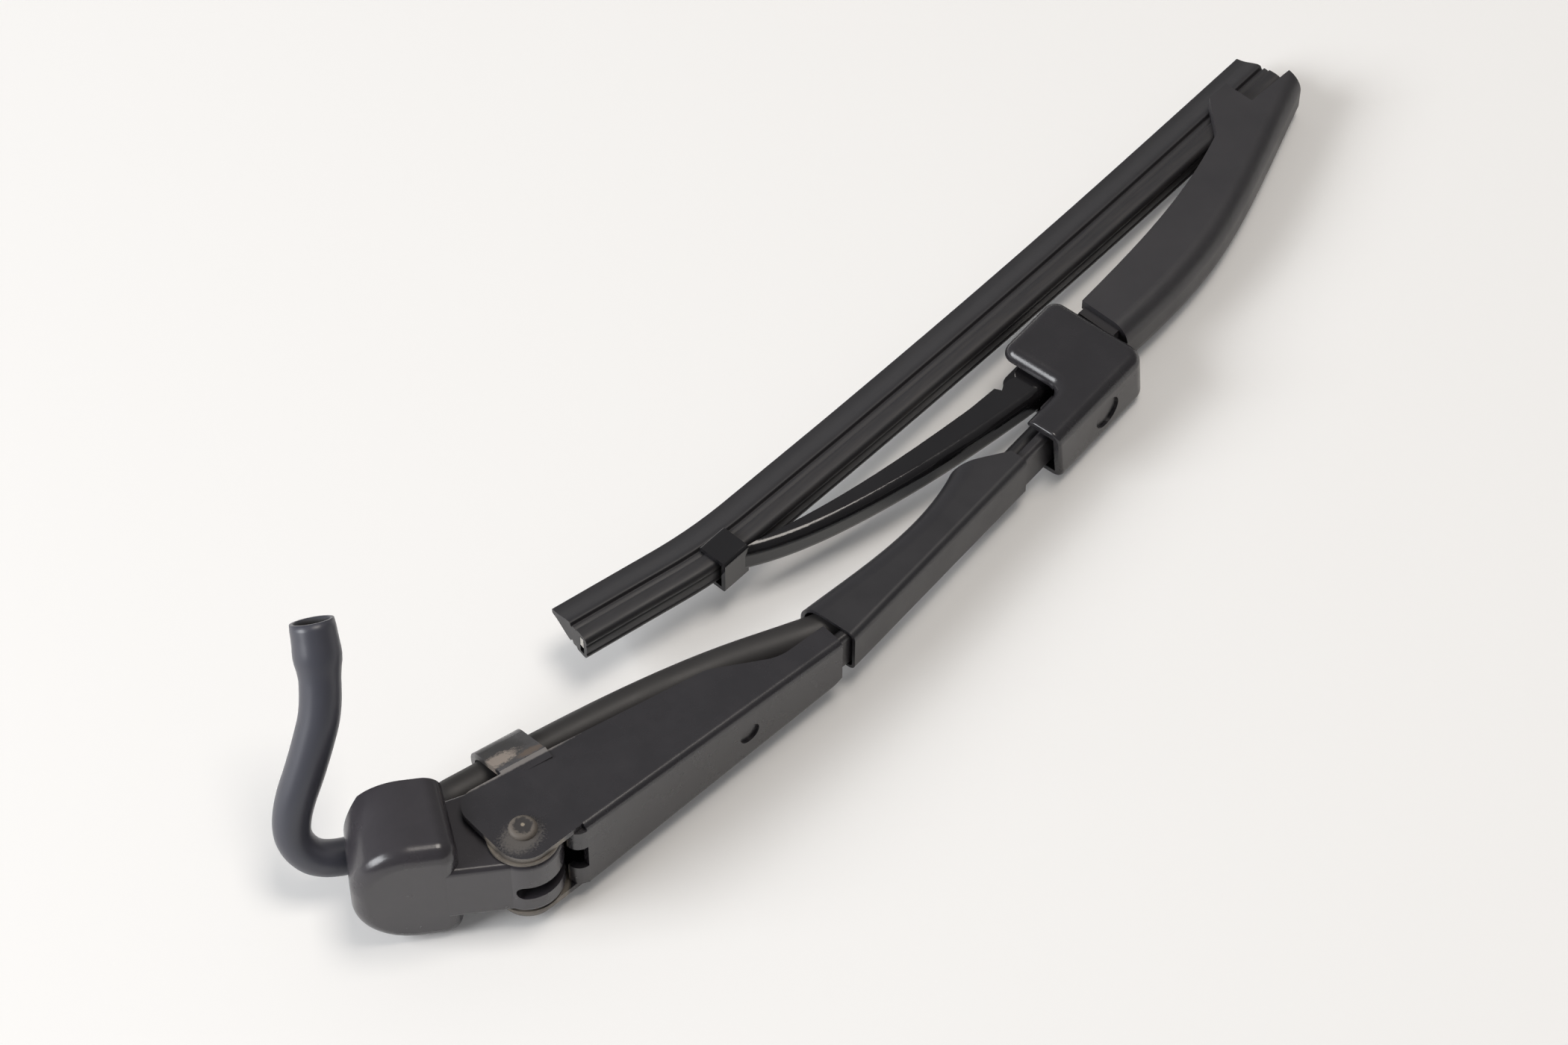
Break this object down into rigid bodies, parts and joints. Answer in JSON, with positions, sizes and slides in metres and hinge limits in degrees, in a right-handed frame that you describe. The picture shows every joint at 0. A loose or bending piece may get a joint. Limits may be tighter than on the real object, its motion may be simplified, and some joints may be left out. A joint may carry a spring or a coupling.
{
  "type": "wiper arm",
  "caption": "Short windscreen wiper arm with a cast pivot head, sprung hinge, folded channel, washer hose and a rocking blade bow with its rubber.",
  "frame": {"origin": "centre of the mouth of the spindle bore in the pivot head", "axes": "+Y along the spindle axis towards the glass, +X along the head to the hinge, +Z along the hinge pin; the arm lies on its side"},
  "size_m": [0.1951, 0.1585, 0.0448],
  "materials": {
    "cast_black": "satin black paint on a fine grained die casting",
    "channel_paint": "matte charcoal paint on folded sheet, worn at the hinge",
    "rivet_steel": "worn painted rivet with bare dirty metal round its head",
    "washer_nylon": "dusty dark nylon",
    "spring_steel": "dull dark spring wire",
    "pin_steel": "plain steel pin",
    "strip_paint": "matte black paint on flat steel",
    "sleeve_rubber": "soft matte sleeve",
    "hose_rubber": "dusty charcoal hose",
    "tube_plastic": "plain black tube",
    "cap_plastic": "fine grained black moulding",
    "bush_plastic": "plain dark moulding",
    "bow_paint": "glossy black paint on folded steel",
    "cover_plastic": "fine matte black moulding",
    "blade_rubber": "dusty matte rubber",
    "flexor_steel": "bright spring steel"
  },
  "bodies": {
    "head": {"pivot_head": "cast_black", "spring_pin": "pin_steel", "hose_free_end": "hose_rubber", "hose_head_run": "hose_rubber"},
    "arm": {"arm_channel": "channel_paint", "hinge_rivet": "rivet_steel", "hinge_washers": "washer_nylon", "tension_spring": "spring_steel", "support_strip": "strip_paint", "strip_sleeve": "sleeve_rubber", "hose_arm_run": "hose_rubber", "feed_tube": "tube_plastic", "jet_nozzle": "cap_plastic", "adapter_cap": "cap_plastic", "blade_pivot_pin": "pin_steel"},
    "blade": {"blade_bow": "bow_paint", "bow_cover": "cover_plastic", "pivot_bush": "bush_plastic", "wiper_rubber": "blade_rubber", "flexor_strip": "flexor_steel"}
  },
  "joints": [
    {"name": "arm_hinge", "type": "hinge", "parent": "head", "child": "arm", "pos_m": [0.0192, -0.0059, 0], "axis": [0, 0, 1], "range_deg": [-90, 0], "deforming": ["tension_spring"]},
    {"name": "blade_rock", "type": "hinge", "parent": "arm", "child": "blade", "pos_m": [0.12018, 0.08112, 0], "axis": [0, 0, 1], "range_deg": [-6, 3]}
  ]
}
